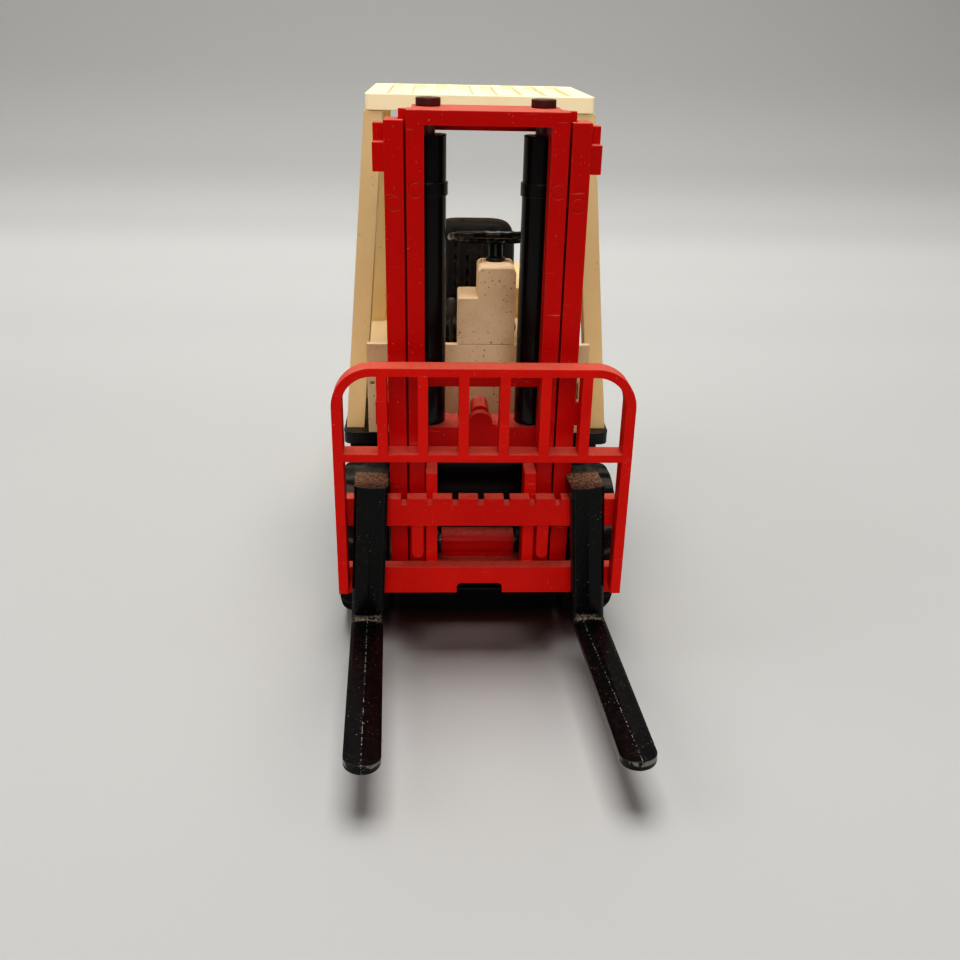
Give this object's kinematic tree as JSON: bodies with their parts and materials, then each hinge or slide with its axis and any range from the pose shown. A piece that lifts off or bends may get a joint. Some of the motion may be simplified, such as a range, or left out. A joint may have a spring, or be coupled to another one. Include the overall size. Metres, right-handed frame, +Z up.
{
  "type": "toy forklift truck",
  "caption": "Model counterbalance forklift with a tilting two-stage mast, sliding carriage with load backrest, loose forks, open cab with overhead guard, rolling wheels and a steered rear axle",
  "frame": {"origin": "under the centre of the whole model, on the ground plane that the tyres stand on", "axes": "+Z up, the forks point to -Y, +X is the driver's left"},
  "size_m": [0.046, 0.1362, 0.0852],
  "materials": {
    "red_plastic": "glossy red moulded plastic with dust on the ledges",
    "cream_plastic": "warm cream plastic, yellowed and slightly speckled with brown",
    "black_plastic": "black moulded plastic, dusty on top",
    "black_metal": "satin black paint worn to the metal along the edges",
    "seat_vinyl": "soft black seat plastic",
    "grey_plastic": "grey knob",
    "tyre_rubber": "solid black rubber with grey dust in the tread",
    "steel": "plain steel pins and rods"
  },
  "bodies": {
    "chassis": {"chassis_frame": "black_plastic", "fender_step_left": "black_plastic", "fender_step_right": "black_plastic", "front_cowl": "cream_plastic", "instrument_console": "cream_plastic", "floor_plate": "black_plastic", "engine_hood": "cream_plastic", "seat_base": "black_plastic", "seat_cushion": "seat_vinyl", "seat_back": "seat_vinyl", "guard_roof": "cream_plastic", "guard_front_pillar_left": "cream_plastic", "guard_front_pillar_right": "cream_plastic", "guard_rear_pillar_left": "cream_plastic", "guard_rear_pillar_right": "cream_plastic", "counterweight": "cream_plastic", "rear_grille": "black_plastic", "tow_pin": "steel", "steering_column": "black_plastic", "lever_bracket": "black_plastic", "lift_lever": "grey_plastic", "tilt_lever": "black_plastic", "front_axle": "steel", "chassis_rivets": "steel", "mast_pivot_pin": "steel"},
    "steering_wheel": {"steering_wheel": "black_plastic"},
    "front_wheel_left": {"front_rim_left": "cream_plastic", "front_tyre_left": "tyre_rubber"},
    "front_wheel_right": {"front_rim_right": "cream_plastic", "front_tyre_right": "tyre_rubber"},
    "rear_steer": {"rear_axle_carrier": "black_plastic", "rear_axle": "steel"},
    "rear_wheel_left": {"rear_rim_left": "cream_plastic", "rear_tyre_left": "tyre_rubber"},
    "rear_wheel_right": {"rear_rim_right": "cream_plastic", "rear_tyre_right": "tyre_rubber"},
    "outer_mast": {"outer_mast": "red_plastic", "lift_cylinder_left": "black_plastic", "lift_cylinder_right": "black_plastic"},
    "inner_mast": {"inner_mast": "red_plastic", "lift_rod_left": "steel", "lift_rod_right": "steel"},
    "tilt_barrel_left": {"tilt_barrel_left": "black_plastic"},
    "tilt_barrel_right": {"tilt_barrel_right": "black_plastic"},
    "tilt_rod_left": {"tilt_rod_left": "steel"},
    "tilt_rod_right": {"tilt_rod_right": "steel"},
    "carriage": {"carriage": "red_plastic", "load_backrest": "red_plastic"},
    "fork_left": {"fork_left": "black_metal"},
    "fork_right": {"fork_right": "black_metal"}
  },
  "joints": [
    {"name": "mast_tilt", "type": "hinge", "parent": "chassis", "child": "outer_mast", "pos_m": [0, -0.02009, 0.0159], "axis": [1, 0, 0], "range_deg": [-5, 4]},
    {"name": "inner_mast_lift", "type": "slide", "parent": "outer_mast", "child": "inner_mast", "axis": [0, 0, 1], "range_m": [0, 0.034]},
    {"name": "carriage_lift", "type": "slide", "parent": "inner_mast", "child": "carriage", "axis": [0, 0, 1], "range_m": [-0.007, 0.044]},
    {"name": "fork_left_shift", "type": "slide", "parent": "carriage", "child": "fork_left", "axis": [1, 0, 0], "range_m": [-0.0042, 0.0005]},
    {"name": "fork_right_shift", "type": "slide", "parent": "carriage", "child": "fork_right", "axis": [1, 0, 0], "range_m": [-0.0002, 0.005]},
    {"name": "tilt_barrel_left_swing", "type": "hinge", "parent": "chassis", "child": "tilt_barrel_left", "pos_m": [0.015, -0.00089, 0.03525], "axis": [1, 0, 0], "range_deg": [-3, 3]},
    {"name": "tilt_rod_left_slide", "type": "slide", "parent": "tilt_barrel_left", "child": "tilt_rod_left", "axis": [0, -0.9686, 0.2486], "range_m": [-0.0025, 0.002]},
    {"name": "tilt_barrel_right_swing", "type": "hinge", "parent": "chassis", "child": "tilt_barrel_right", "pos_m": [-0.015, -0.00089, 0.03525], "axis": [1, 0, 0], "range_deg": [-3, 3]},
    {"name": "tilt_rod_right_slide", "type": "slide", "parent": "tilt_barrel_right", "child": "tilt_rod_right", "axis": [0, -0.9686, 0.2486], "range_m": [-0.0025, 0.002]},
    {"name": "front_wheel_left_spin", "type": "hinge", "parent": "chassis", "child": "front_wheel_left", "pos_m": [0.0188, -0.0134, 0.0131], "axis": [1, 0, 0], "continuous": true},
    {"name": "front_wheel_right_spin", "type": "hinge", "parent": "chassis", "child": "front_wheel_right", "pos_m": [-0.0188, -0.0134, 0.0131], "axis": [1, 0, 0], "continuous": true},
    {"name": "rear_steer", "type": "hinge", "parent": "chassis", "child": "rear_steer", "pos_m": [0, 0.04861, 0.022], "axis": [0, 0, 1], "range_deg": [-18, 18]},
    {"name": "rear_wheel_left_spin", "type": "hinge", "parent": "rear_steer", "child": "rear_wheel_left", "pos_m": [0.0163, 0.04861, 0.01], "axis": [1, 0, 0], "continuous": true},
    {"name": "rear_wheel_right_spin", "type": "hinge", "parent": "rear_steer", "child": "rear_wheel_right", "pos_m": [-0.0163, 0.04861, 0.01], "axis": [1, 0, 0], "continuous": true},
    {"name": "steering_wheel_turn", "type": "hinge", "parent": "chassis", "child": "steering_wheel", "pos_m": [0.00278, -0.00382, 0.06304], "axis": [0, 0.2419, 0.9703], "range_deg": [-90, 90]}
  ],
  "couplings": [
    {"joint": "tilt_barrel_left_swing", "follows": "mast_tilt", "ratio": 0.4035},
    {"joint": "tilt_barrel_right_swing", "follows": "mast_tilt", "ratio": 0.4035},
    {"joint": "tilt_rod_left_slide", "follows": "mast_tilt", "m_per_rad": 0.02357},
    {"joint": "tilt_rod_right_slide", "follows": "mast_tilt", "m_per_rad": 0.02357},
    {"joint": "steering_wheel_turn", "follows": "rear_steer", "ratio": -5}
  ]
}
